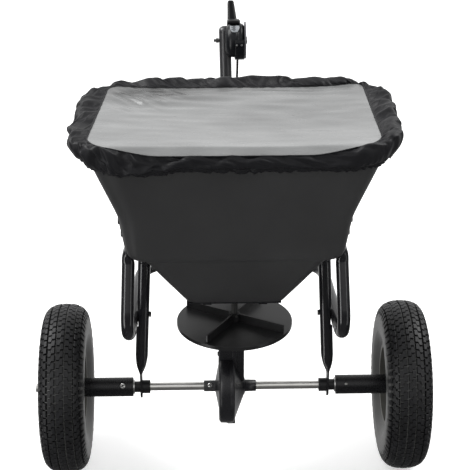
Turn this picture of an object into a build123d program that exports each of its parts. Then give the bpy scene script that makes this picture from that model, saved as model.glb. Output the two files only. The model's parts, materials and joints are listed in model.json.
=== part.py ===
from build123d import *
import os
from math import atan, cos, degrees, pi, radians, sin, tan

# Tow-behind broadcast spreader, seen from behind: +X right, +Y forward to the tractor, +Z up.
# Lengths are in millimetres. Parts are drawn with the axle at Y = 0 and the ground at Z = 0,
# then moved so that the origin is under the middle of the object's box.

# ---- driving dimensions ----
TYRE_R = 165.0                  # 13 inch turf tyre
TYRE_HALF_W = 43.0
WHEEL_X = 327.0                 # wheel centre planes
RIM_R = 76.0                    # 6 inch bead seat
RIM_HALF_W = 32.0
AXLE_Z = TYRE_R
AXLE_R = 7.95                   # 5/8 inch axle
AXLE_HALF = 388.0
RUN = 0.06                      # radial running clearance
HUB_R = 18.75
HUB_BORE_R = 15.5
HUB_IN, HUB_OUT = 198.0, 371.7
TUBE_R = 12.0                   # 24 mm frame tube
TUBE_WALL = 1.5
TAB_T = 4.0                     # thickness of a flattened tube end
TAB_W = 2 * TUBE_R * pi / 2     # its width
STRUT_PLATE_X = 182.0           # flattened strut end on the axle
STRUT_TOP_X = 166.0             # flattened strut end on the hopper foot
RUN_Z = 323.0                   # height of the frame tube's level run and of the drawbar
BAR = 30.0                      # square drawbar
BAR_Y0, BAR_Y1 = 425.0, 845.0
HITCH_Y, HITCH_R = 885.0, 6.5
HITCH_TIP_Y = 905.0
PLATE_T = 5.0
RIM_Z = 728.0                   # hopper rim
BREAK_Z = 578.0                 # where the upper walls flare out
LEDGE_Z = 493.0                 # underside of the lower body
OUTLET_Z = 378.0                # underside of the funnel
BODY_Z = 506.0                  # top of the lower body's rounded bottom edge
BODY_X, BREAK_X, RIM_X = 197.0, 210.0, 274.0     # outside half widths
FUNNEL_X, OUTLET_X = 168.0, 92.0
WALL = 3.0
SHAFT_R = 6.0
DISC_Z, DISC_R = 304.0, 110.5   # lower edge and radius of the spinner
VANE_H = 16.0
VANE_ANGLE = 59.5
CROWN_TEETH, PINION_TEETH = 36, 9
CROWN_R = 50.0                  # mean radius of the crown gear's teeth
GEARBOX_R = 72.0
SPLIT_X = -7.5                  # joint of the two gearbox halves
GATE_TRAVEL = 30.0
COVER_HALF_X, COVER_HALF_Y = 291.0, 188.0
COVER_Z0, COVER_Z1 = 684.0, 732.0
POST_R = 12.7
POST_Y = 520.0
HEAD_Y, HEAD_Z = 512.0, 712.0   # lever pivot
HEAD_R = 36.0
LEVER_LEAN = 54.0               # lever's lean forward at rest, degrees
CABLE_R = 2.5

BOX_MID_Y = (HITCH_TIP_Y - COVER_HALF_Y) / 2


# ---- helpers ----
def save(name, *solids):
    """Write one node: one solid, or a group of separate like solids."""
    moved = [Pos(0, -BOX_MID_Y, 0) * solid for solid in solids]
    shape = moved[0] if len(moved) == 1 else Compound(children=moved)
    export_step(shape, f"parts/{name}.step")


def box(x0, x1, y0, y1, z0, z1):
    return Pos((x0 + x1) / 2, (y0 + y1) / 2, (z0 + z1) / 2) * Box(x1 - x0, y1 - y0, z1 - z0)


def cyl_x(r, x0, x1, y=0.0, z=AXLE_Z):
    return Pos((x0 + x1) / 2, y, z) * Rot(0, 90, 0) * Cylinder(r, abs(x1 - x0))


def cyl_y(r, y0, y1, x=0.0, z=0.0):
    return Pos(x, (y0 + y1) / 2, z) * Rot(90, 0, 0) * Cylinder(r, abs(y1 - y0))


def cyl_z(r, z0, z1, x=0.0, y=0.0):
    return Pos(x, y, (z0 + z1) / 2) * Cylinder(r, z1 - z0)


def hex_x(r, x0, x1, y, z):
    """Hexagon of across-flats radius r, along X."""
    prism = extrude(RegularPolygon(r, 6, major_radius=False), abs(x1 - x0))
    return Pos(min(x0, x1), y, z) * Rot(0, 90, 0) * prism


def hex_z(r, z0, z1, x, y):
    return Pos(x, y, z0) * extrude(RegularPolygon(r, 6, major_radius=False), z1 - z0)


def bolt_x(r, x_head, x_nut, tip, y, z):
    """Bolt, head and nut along X: the head sits outside x_head and the nut outside x_nut."""
    side = 1 if x_nut > x_head else -1
    head = hex_x(1.7 * r, x_head - side * 1.3 * r, x_head, y, z)
    nut = hex_x(1.7 * r, x_nut, x_nut + side * 1.6 * r, y, z)
    return head + cyl_x(r, x_head, x_nut + side * tip, y, z) + nut


def bolt_z(r, z_head, z_nut, tip, x, y):
    head = hex_z(1.7 * r, z_head, z_head + 1.3 * r, x, y)
    nut = hex_z(1.7 * r, z_nut - 1.6 * r, z_nut, x, y)
    return head + cyl_z(r, z_nut - tip, z_head, x, y) + nut


def mirrored(shape):
    """The same shape on the other side of X = 0."""
    return mirror(shape, about=Plane.YZ)


def bent_tube(points, radii, r, wall):
    """Round tube along straight runs joined by tangent arcs."""
    path = FilletPolyline(*points, radius=radii) if radii else Polyline(*points)
    start = Plane(origin=path @ 0, z_dir=path % 0)
    outer = sweep(start * Circle(r), path=path)
    return outer - sweep(start * Circle(r - wall), path=path)


def flat_slot(centre, axis, width, thick, x_dir):
    """Flattened tube section: a slot, wide across x_dir, in the plane normal to axis."""
    return Plane(origin=centre, x_dir=x_dir, z_dir=axis) * SlotOverall(width, thick)


def leaf(round_at, round_dir, flat_at, flat_dir, wide, r=TUBE_R):
    """Solid transition from a round tube section to a flattened one, full at first like a real crush."""
    circle = Plane(origin=round_at, z_dir=round_dir, x_dir=wide) * Circle(r)
    middle = Vector(*round_at) * 0.45 + Vector(*flat_at) * 0.55
    pressed = flat_slot(middle, flat_dir, 2.4 * r, 1.5 * r, wide)
    return loft([circle, pressed, flat_slot(flat_at, flat_dir, TAB_W, TAB_T, wide)])


def rounded(half_x, half_y, corner, z):
    return Pos(0, 0, z) * RectangleRounded(2 * half_x, 2 * half_y, corner)


def stack(sections):
    """Ruled loft through rounded rectangles given as (half_x, half_y, corner, z)."""
    return loft([rounded(*section) for section in sections], ruled=True)


# ---- wheels ----
def tyre_outline(inset):
    """Half of the tyre section as (along axle, radius), from bead to crown, shrunk by inset."""
    w, crown = TYRE_HALF_W - inset, TYRE_R - inset
    bead_r = RIM_R + 1.0
    depth = crown - bead_r
    bead = (RIM_HALF_W - 3.0 - inset, bead_r)
    lip = (bead[0], bead_r + 10.0)
    belly = (w, bead_r + 0.47 * depth)
    shoulder = (0.87 * w, bead_r + 0.80 * depth)
    edge = (0.52 * w, crown - 0.045 * depth)
    return [bead, lip, belly, shoulder, edge, (0, crown)]


def revolved(profile_edges):
    """Solid of revolution about the axle line from edges drawn as (along axle, radius)."""
    face = make_face(profile_edges)
    solid = revolve(Plane.XY * face, axis=Axis.X)
    return Pos(0, 0, AXLE_Z) * solid


def tyre():
    def half(points):
        bead, lip, belly, shoulder, edge, _ = points
        return [Line(bead, lip), ThreePointArc(lip, belly, shoulder), Line(shoulder, edge)]

    def section(points):
        other = [(-x, r) for x, r in points]
        return half(points) + half(other) + [ThreePointArc(points[4], points[5], other[4])]

    outer, inner = tyre_outline(0.0), tyre_outline(7.0)
    feet = [Line(outer[0], inner[0]), Line((-outer[0][0], outer[0][1]), (-inner[0][0], inner[0][1]))]
    return revolved(section(outer) + section(inner) + feet)


def valve_stem(side, r):
    """Valve stem from the inner tube through the rim, on the outboard side."""
    start = Vector(side * 6.0, 0, AXLE_Z + 90.0)
    end = Vector(side * 26.0, 0, AXLE_Z + 58.0)
    return Solid.make_cylinder(r, (end - start).length, Plane(origin=start, z_dir=end - start))


def inner_tube(side):
    """Butyl tube, hollow, with its valve stem."""
    middle = (RIM_R + TYRE_R) / 2 - 3.0
    at_axle = Pos(0, 0, AXLE_Z) * Rot(0, 90, 0)
    shell = at_axle * Torus(middle, 28.5) - at_axle * Torus(middle, 26.5)
    return shell + valve_stem(side, 4.0)


def rim():
    """Two pressed half shells joined at a flat web: drawn as one profile."""
    t = 2.5
    lip, seat, well = RIM_R + 9.0, RIM_R, RIM_R - 8.0
    w = RIM_HALF_W
    outer = [(w, lip), (w - t, lip), (w - t, seat + 1.0), (0.45 * w, seat), (0.3 * w, well), (0, well)]
    lower = [(0, well - t), (0.3 * w + t, well - t), (0.45 * w + t, seat - t), (w, seat - t)]
    right = Polyline(*outer, *lower, close=True)
    left = Polyline(*[(-x, y) for x, y in outer + lower], close=True)
    web = cyl_x(well - 0.5, -t, t) - cyl_x(HUB_R, -2 * t, 2 * t)
    dish = cyl_x(HUB_R + 14.0, -7.0, 7.0) - cyl_x(HUB_R, -8.0, 8.0)
    body = revolved(right) + revolved(left) + web + dish
    for k in range(5):
        hole = Pos(0, 0, AXLE_Z) * Rot(72.0 * k, 0, 0) * Pos(0, 0, 50.0) * Rot(0, 90, 0) * Cylinder(6.5, 30)
        body -= hole
    return body


def hub(side, drive_hole_x):
    tube = cyl_x(HUB_R, side * HUB_IN, side * HUB_OUT) - cyl_x(HUB_BORE_R, side * 190, side * 380)
    return tube - drive_bolt_blank(drive_hole_x, 3.1)


DRIVE_TILT = 55.0               # tilt of the drive bolt back from vertical, degrees


def drive_bolt_blank(x, r):
    """Cylinder across the axle at x, tilted back from vertical."""
    return Pos(x, 0, AXLE_Z) * Rot(DRIVE_TILT, 0, 0) * Cylinder(r, 60.0)


def hub_bushes(side, drive_hole_x):
    inner_end = cyl_x(HUB_BORE_R, side * (HUB_IN + 1.0), side * (HUB_IN + 31.0))
    outer_end = cyl_x(HUB_BORE_R, side * (HUB_OUT - 26.0), side * (HUB_OUT - 1.0))
    bore = cyl_x(AXLE_R + RUN, side * 190, side * 380)
    return [inner_end - bore - drive_bolt_blank(drive_hole_x, 3.1), outer_end - bore]


def wheel(side, drive_hole_x):
    name = "left" if side < 0 else "right"
    place = Pos(side * WHEEL_X, 0, 0)
    save(f"{name}_tyre", place * tyre())
    save(f"{name}_inner_tube", place * inner_tube(side))
    save(f"{name}_wheel_rim", place * (rim() - valve_stem(side, 4.2)))
    save(f"{name}_wheel_hub", hub(side, drive_hole_x))
    save(f"{name}_hub_bushes", *hub_bushes(side, drive_hole_x))


# ---- axle and what is pinned to it ----
DRIVE_HOLE_X = 218.0
WASHER_R = 14.0


def axle_parts():
    pin_x = AXLE_HALF - 8.0
    cotters = [Pos(side * pin_x, 0, AXLE_Z) * Cylinder(1.6, 30.0) for side in (-1, 1)]
    gear_screw = Pos(-48.0, 0, AXLE_Z) * Rot(DRIVE_TILT, 0, 0) * Cylinder(2.5, 24.0)
    gear_screw += Pos(-48.0, 0, AXLE_Z) * Rot(DRIVE_TILT, 0, 0) * Pos(0, 0, 12.5) * Cylinder(5.0, 3.0)
    drive_bolt = drive_bolt_blank(-DRIVE_HOLE_X, 3.0) & cyl_x(23.0, -230, -200)
    cap_head = Pos(0, 0, 20.5) * Cylinder(6.0, 3.5)
    drive_bolt += Pos(-DRIVE_HOLE_X, 0, AXLE_Z) * Rot(DRIVE_TILT, 0, 0) * cap_head
    axle = cyl_x(AXLE_R, -AXLE_HALF, AXLE_HALF) - gear_screw - drive_bolt
    for pin in cotters:
        axle -= pin
    washers = []
    for side in (-1, 1):
        for x in (HUB_IN - 2.7, HUB_OUT + 0.3):
            disc = cyl_x(WASHER_R, side * x, side * (x + 2.2))
            washers.append(disc - cyl_x(AXLE_R, side * (x - 1), side * (x + 4)))
    save("axle", axle)
    save("axle_washers", *washers)
    save("axle_cotter_pins", *cotters)
    save("gear_screw", gear_screw)
    save("left_drive_bolt", drive_bolt)
    save("drive_gear", drive_gear() - axle_bore() - gear_screw)


def axle_bore():
    return cyl_x(AXLE_R, -AXLE_HALF, AXLE_HALF)


# ---- crown gear and pinion ----
PINION_R = CROWN_R * PINION_TEETH / CROWN_TEETH
PITCH = 2 * pi * PINION_R / PINION_TEETH
MESH_X = -PINION_R              # pitch line of the crown gear's teeth
CROWN_TIP_X = MESH_X + 1.8
CROWN_ROOT_X = MESH_X - 2.8
CROWN_FACE = (45.0, 55.0)       # inner and outer radius of the teeth


def drive_gear():
    """Crown gear facing +X, with a sleeve that leaves the gearbox on the left."""
    back = cyl_x(60.0, -24.0, CROWN_ROOT_X)
    sleeve = cyl_x(11.0, -60.0, -20.0)
    gear = back + sleeve
    root_share, tip_share = 0.24, 0.11        # half thickness of a tooth as a share of the pitch
    for k in range(CROWN_TEETH):
        turn = Rot(360.0 / CROWN_TEETH * (k + 0.5), 0, 0)
        step = 2 * pi / CROWN_TEETH
        foot = [(r, s * r * step * root_share) for r in CROWN_FACE for s in (-1, 1)]
        top = [(r, s * r * step * tip_share) for r in CROWN_FACE for s in (-1, 1)]
        order = (0, 1, 3, 2)
        lower = Polygon(*[foot[i] for i in order], align=None)
        upper = Polygon(*[top[i] for i in order], align=None)
        height = CROWN_TIP_X - CROWN_ROOT_X + 0.5
        tooth = loft([lower, Pos(0, 0, height) * upper])
        # drawn with the radius along X and the height along Z: turn the height to +X, radius to +Z
        tooth = Pos(CROWN_ROOT_X - 0.5, 0, AXLE_Z) * turn * Rot(0, 90, 0) * Rot(0, 0, 180) * tooth
        gear += tooth
    return gear


def pinion():
    root_r, tip_r = PINION_R - 3.2, PINION_R + 1.5
    z0, z1 = AXLE_Z + CROWN_FACE[0] - 1.5, AXLE_Z + CROWN_FACE[1] + 1.5
    gear = cyl_z(root_r, z0, z1) + cyl_z(root_r, z1, z1 + 12.0)
    for k in range(PINION_TEETH):
        foot, top = 0.21 * PITCH, 0.085 * PITCH
        flank = Polygon((root_r - 1.5, -foot), (root_r - 1.5, foot), (tip_r, top), (tip_r, -top), align=None)
        tooth = extrude(flank, z1 - z0, dir=(0, 0, 1))
        gear += Pos(0, 0, z0) * Rot(0, 0, 180 + 360.0 / PINION_TEETH * k) * tooth
    return gear


# ---- gearbox ----
NECK_X0, NECK_X1, NECK_HALF_Y, NECK_Z1 = -31.0, 18.5, 21.0, 299.0
SEAL_Z = 250.0                  # bottom of the shaft bush
LUG_Z = AXLE_Z - 76.0
SCREW_SPOTS = [(-15.5, 288.0), (15.5, 288.0), (-16.0, 246.0), (16.0, 246.0), (0.0, LUG_Z)]


def gearbox_screw(y, z):
    right = 1.5 if z == LUG_Z else NECK_X1
    left = -15.0 if z == LUG_Z else NECK_X0
    return cyl_x(2.0, left, right - 1.0, y, z) + cyl_x(4.2, left - 2.4, left, y, z)


def gearbox():
    body = cyl_x(GEARBOX_R, NECK_X0, 0.0)
    body += box(NECK_X0, NECK_X1, -NECK_HALF_Y, NECK_HALF_Y, AXLE_Z + 8.0, NECK_Z1)
    cone_end = 19.0
    cone = Pos(cone_end / 2, 0, AXLE_Z) * Rot(0, 90, 0) * Cone(60.0, 17.0, cone_end)
    body += cone + cyl_x(11.0, cone_end - 1.0, 42.0)
    body += box(-15.0, 1.5, -10.0, 10.0, AXLE_Z - 82.0, AXLE_Z - 60.0)
    body = body - cyl_x(GEARBOX_R - 4.0, NECK_X0 + 4.0, -4.0)
    body -= cyl_z(PINION_R + 2.6, AXLE_Z + 38.0, 240.0)
    body -= cyl_z(9.0, 230.0, 310.0)
    body -= cyl_x(AXLE_R + RUN, -40.0, 50.0)
    body -= cyl_x(11.0 + RUN, -40.0, -20.0)
    screws = [gearbox_screw(y, z) for y, z in SCREW_SPOTS]
    for screw in screws:
        body -= screw
    left = body & box(-40.0, SPLIT_X, -100, 100, 60, 320)
    right = body & box(SPLIT_X, 60.0, -100, 100, 60, 320)
    save("gearbox_left_half", left)
    save("gearbox_right_half", right)
    save("gearbox_screws", *screws)
    save("shaft_bush", cyl_z(9.0, SEAL_Z, NECK_Z1 + 1.0) - cyl_z(SHAFT_R + RUN, SEAL_Z - 1, NECK_Z1 + 5))


# ---- spinner ----
SHAFT_Z0, SHAFT_Z1 = 204.0, 428.0
AGITATOR_Z = 408.0
SPINNER_HUB_R = 10.5


def spinner():
    plate_z = DISC_Z + 4.0
    top_z = DISC_Z + 7.0
    disc = cyl_z(DISC_R, DISC_Z, top_z) - cyl_z(DISC_R - 2.5, DISC_Z - 1, plate_z)
    disc += cyl_z(SPINNER_HUB_R, DISC_Z, top_z + VANE_H)
    for k in range(4):
        vane = box(SPINNER_HUB_R - 1.5, 106.0, -1.5, 1.5, top_z - 0.5, top_z + VANE_H)
        disc += Rot(0, 0, VANE_ANGLE + 90.0 * k) * vane
    pin_z = top_z + VANE_H - 3.0
    pin = Pos(0, 0, pin_z) * Rot(0, 0, VANE_ANGLE + 45.0) * Rot(0, 90, 0) * Cylinder(2.2, 28.0)
    gear = pinion()
    ends = 46.0
    path = FilletPolyline((-ends - 8, 0, AGITATOR_Z + 22), (-ends, 0, AGITATOR_Z),
                          (ends, 0, AGITATOR_Z), (ends + 8, 0, AGITATOR_Z + 22), radius=9.0)
    agitator = sweep(Plane(origin=path @ 0, z_dir=path % 0) * Circle(2.5), path=path)
    shaft = cyl_z(SHAFT_R, SHAFT_Z0, SHAFT_Z1)
    shaft = shaft - pin - agitator
    bore = cyl_z(SHAFT_R, SHAFT_Z0 - 5, SHAFT_Z1)
    save("spinner_shaft", shaft)
    save("spinner_disc", disc - bore - pin)
    save("spinner_pin", pin)
    save("agitator", agitator)
    save("pinion_gear", gear - bore)


# ---- frame ----
TAB_Y = -62.0
STRUT_BOLT_Z = 474.0
FOOT_SEAT_X = 146.0             # nut seat of the strut bolt, inside the hopper
CRIMP_X = 184.4                 # plane where strut and frame tube are crimped together
CRIMP_Z = 325.0
FRAME_TOP = (-195.5, -70.0, 466.0)      # centre line of the left frame tube
FRAME_HEEL = (-200.5, -126.0, RUN_Z - 3.0)
FRAME_TURN = (-184.5, 190.0, RUN_Z)
BESIDE_BAR_X = -(BAR + TAB_T) / 2
ROUND_END_Y = 390.0             # where the tube's front end starts to flatten
STRUT_FOOT = (-179.6, 0, 238.0)         # centre line of the left strut's round part
STRUT_KNEE = (-169.6, 0, 436.0)
FRAME_TAB_Z = (500.0, 562.0)    # tab of the frame tube on the hopper wall


def wall_x(z):
    """Outside half width of the hopper's lower body at height z."""
    return BODY_X + (z - BODY_Z) * (BREAK_X - BODY_X) / (BREAK_Z - BODY_Z)


def crimp(tube, solid_tube, keep_side):
    """Press a tube flat where it meets its neighbour at X = -CRIMP_X."""
    far = CRIMP_X + keep_side * 20.0
    beyond = box(-max(far, CRIMP_X), -min(far, CRIMP_X), -30, 30, CRIMP_Z - 30, CRIMP_Z + 30)
    skin_x = CRIMP_X - keep_side * 1.5
    skin = box(-max(skin_x, CRIMP_X), -min(skin_x, CRIMP_X), -30, 30, CRIMP_Z - 30, CRIMP_Z + 30)
    return tube - beyond + (solid_tube & skin)


def left_frame_tube():
    at_bar = (BESIDE_BAR_X, 358.0, RUN_Z)
    round_end = (BESIDE_BAR_X, ROUND_END_Y, RUN_Z)
    points = [FRAME_TOP, FRAME_HEEL, FRAME_TURN, at_bar, round_end]
    tube = bent_tube(points, [46.0, 60.0, 60.0], TUBE_R, TUBE_WALL)
    run = Vector(*FRAME_TURN) - Vector(*FRAME_HEEL)
    solid = Solid.make_cylinder(TUBE_R, run.length, Plane(origin=FRAME_HEEL, z_dir=run))
    tube = crimp(tube, solid, -1)
    # front end, flattened on the drawbar's side
    flat_at = (BESIDE_BAR_X, BAR_Y0 - 0.5, RUN_Z)
    tube += leaf(round_end, (0, 1, 0), flat_at, (0, 1, 0), (0, 0, 1))
    half_w = TAB_W / 2 - 2.0
    tube += box(BESIDE_BAR_X - TAB_T / 2, BESIDE_BAR_X + TAB_T / 2, BAR_Y0 - 0.6, 498.0,
                RUN_Z - half_w, RUN_Z + half_w)
    # top end, flattened on the hopper's side wall
    top_dir = Vector(*FRAME_TOP) - Vector(*FRAME_HEEL)
    off_wall = TAB_T / 2 + 0.1
    tab_low, tab_high = [(-wall_x(z) - off_wall, TAB_Y, z) for z in FRAME_TAB_Z]
    tube += leaf(FRAME_TOP, top_dir, tab_low, (0, 0, 1), (0, 1, 0))
    tab = loft([flat_slot(end, (0, 0, 1), TAB_W, TAB_T, (0, 1, 0)) for end in (tab_low, tab_high)])
    return tube + tab


def left_strut():
    up = Vector(*STRUT_KNEE) - Vector(*STRUT_FOOT)
    strut = bent_tube([STRUT_FOOT, STRUT_KNEE], None, TUBE_R, TUBE_WALL)
    solid = Solid.make_cylinder(TUBE_R, up.length, Plane(origin=STRUT_FOOT, z_dir=up))
    strut = crimp(strut, solid, 1)
    # lower end, flattened round the axle bush
    plate_low, plate_high = 158.0, 204.0
    strut += leaf(STRUT_FOOT, up * -1, (-STRUT_PLATE_X, 0, 198.0), (0, 0, -1), (0, 1, 0))
    half_w = 15.4
    plate_x = (-STRUT_PLATE_X - TAB_T / 2, -STRUT_PLATE_X + TAB_T / 2)
    strut += box(*plate_x, -half_w, half_w, plate_low, plate_high)
    strut += cyl_x(half_w, *plate_x, 0, plate_low)
    # upper end, flattened on the hopper's foot
    strut += leaf(STRUT_KNEE, up, (-STRUT_TOP_X, 0, 460.0), (0, 0, 1), (0, 1, 0))
    strut += box(-STRUT_TOP_X - TAB_T / 2, -STRUT_TOP_X + TAB_T / 2, -15.0, 15.0, 459.9, 486.0)
    return strut - cyl_x(BUSH_R, -200, -160)


BUSH_R = 10.75                  # axle bush barrel


def axle_bush():
    barrel = cyl_x(BUSH_R, -195.0, -176.0)
    flange = cyl_x(13.0, -STRUT_PLATE_X + TAB_T / 2, -165.0)
    return barrel + flange - cyl_x(AXLE_R + RUN, -200, -160)


def bar_bolts():
    """Bolts through the drawbar: side tubes, control post foot and hitch plates."""
    outside = BAR / 2 + TAB_T
    bolts = [bolt_x(4.0, outside, -outside, 10.0, y, RUN_Z) for y in (452.0, 482.0)]
    top = RUN_Z + BAR / 2
    bolts += [bolt_z(3.0, top + 4.0, RUN_Z - BAR / 2, 8.0, 0, y) for y in (POST_Y - 18.0, POST_Y + 40.0)]
    bolts += [bolt_z(4.0, top + PLATE_T, RUN_Z - BAR / 2 - PLATE_T, 10.0, 0, y) for y in (790.0, 824.0)]
    return bolts


def frame_parts():
    tube, strut = left_frame_tube(), left_strut()
    crimp_bolt = bolt_x(3.0, -163.0, -206.3, 8.0, 0.0, CRIMP_Z)
    foot_bolt = bolt_x(4.0, -STRUT_TOP_X - TAB_T / 2, -FOOT_SEAT_X, 8.0, 0.0, STRUT_BOLT_Z)
    tab_bolts = []
    for z in (524.0, 549.0):
        x = -wall_x(z) - TAB_T - 0.6
        tab_bolts.append(cyl_x(3.0, x, x + 18.0, TAB_Y, z) + cyl_x(6.5, x - 3.0, x, TAB_Y, z)
                         + hex_x(5.0, x + TAB_T + WALL + 1.2, x + TAB_T + WALL + 6.0, TAB_Y, z))
    hopper_bolts = [foot_bolt] + tab_bolts
    for bolt in [crimp_bolt] + hopper_bolts:
        tube -= bolt
        strut -= bolt
    bolts = bar_bolts()
    sides = [tube, mirrored(tube)]
    for bolt in bolts[:2]:
        sides = [side - bolt for side in sides]
    save("left_frame_tube", sides[0])
    save("right_frame_tube", sides[1])
    save("left_axle_strut", strut)
    save("right_axle_strut", mirrored(strut))
    save("axle_bushes", axle_bush(), mirrored(axle_bush()))
    save("strut_bolts", crimp_bolt, mirrored(crimp_bolt))
    save("hopper_bolts", *hopper_bolts, *[mirrored(bolt) for bolt in hopper_bolts])

    half, t = BAR / 2, 2.0
    bar = box(-half, half, BAR_Y0, BAR_Y1, RUN_Z - half, RUN_Z + half)
    bar -= box(-half + t, half - t, BAR_Y0 - 1, BAR_Y1 + 1, RUN_Z - half + t, RUN_Z + half - t)
    plates = []
    for z in (RUN_Z - half - PLATE_T, RUN_Z + half):
        plate = box(-20.0, 20.0, 770.0, HITCH_TIP_Y - 20.0, z, z + PLATE_T)
        plate += cyl_z(20.0, z, z + PLATE_T, 0, HITCH_TIP_Y - 20.0)
        plates.append(plate - cyl_z(HITCH_R, z - 1, z + PLATE_T + 1, 0, HITCH_Y))
    for bolt in bolts:
        bar -= bolt
        plates = [plate - bolt for plate in plates]
    save("drawbar", bar)
    save("hitch_plates", *plates)
    save("drawbar_bolts", *bolts)
    return hopper_bolts


# ---- control post ----
POST_BASE = (0.0, POST_Y, RUN_Z + BAR / 2 + 4.0)
POST_KNEE = (-6.5, POST_Y, 640.0)
POST_TOP = (-8.3, POST_Y + 6.0, 730.0)
CLAMP_Z = 708.0
CLAMP_Y = POST_Y + (POST_TOP[1] - POST_Y) * (CLAMP_Z - POST_KNEE[2]) / (POST_TOP[2] - POST_KNEE[2])


def control_post():
    tube = bent_tube([POST_BASE, POST_KNEE, POST_TOP], [90.0], POST_R, TUBE_WALL)
    foot_z = RUN_Z + BAR / 2
    foot = box(-14.0, 14.0, POST_Y - 30.0, POST_Y + 52.0, foot_z, foot_z + 4.2)
    post = tube + foot
    for bolt in bar_bolts()[2:4]:
        post -= bolt
    upper = Vector(*POST_TOP) - Vector(*POST_KNEE)
    at_top = Plane(origin=POST_TOP, z_dir=upper)
    crown = at_top * scale(Sphere(POST_R), (1, 1, 0.75)) & at_top * Pos(0, 0, 10) * Box(40, 40, 20)
    plug = at_top * Pos(0, 0, -8) * Cylinder(POST_R - TUBE_WALL, 16)
    save("control_post", post - clamp_bolt())
    save("post_cap", crown + plug)


def clamp_bolt():
    shank = cyl_x(3.0, -32.0, 5.0, CLAMP_Y, CLAMP_Z)
    return shank + cyl_x(7.0, 5.0, 6.9, CLAMP_Y, CLAMP_Z)


def wing_nut():
    x = POST_TOP[0] - POST_R
    nut = cyl_x(5.0, x - 6.0, x - 0.2, CLAMP_Y, CLAMP_Z)
    for turn in (0, 180):
        wing = box(x - 10.0, x - 2.0, -1.2, 1.2, 4.0, 11.0)
        nut += Pos(0, CLAMP_Y, CLAMP_Z) * Rot(turn + 75, 0, 0) * wing
    return nut - cyl_x(3.0, -60, 0, CLAMP_Y, CLAMP_Z)


# ---- flow control head ----
HOUSING_X0, HOUSING_X1, COVER_X1, SIDE_X1 = 5.0, 15.0, 33.0, 36.3
CAVITY_R = 33.0
ARM_X0, ARM_X1 = 8.0, 12.0
GRIP_R0, GRIP_R1 = 59.0, 105.0
BOSS_Y, BOSS_Z0 = 540.0, 664.0
CABLE_EXIT_X = 19.3


def at_head(shape):
    return Pos(0, HEAD_Y, HEAD_Z) * shape


def sector(x0, x1, r0, r1, lean0, lean1):
    """Ring sector about the pivot, between two leans measured forward from upright."""
    step = 1.0
    count = int((lean1 - lean0) / step) + 1
    leans = [radians(lean0 + (lean1 - lean0) * k / count) for k in range(count + 1)]
    rim_points = [(r1 * sin(a), r1 * cos(a)) for a in leans]
    inner = [(r0 * sin(a), r0 * cos(a)) for a in reversed(leans)]
    face = Plane.YZ * Polygon(*rim_points, *inner, align=None)
    return at_head(Pos(x0, 0, 0) * extrude(face, x1 - x0, dir=(1, 0, 0)))


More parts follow.
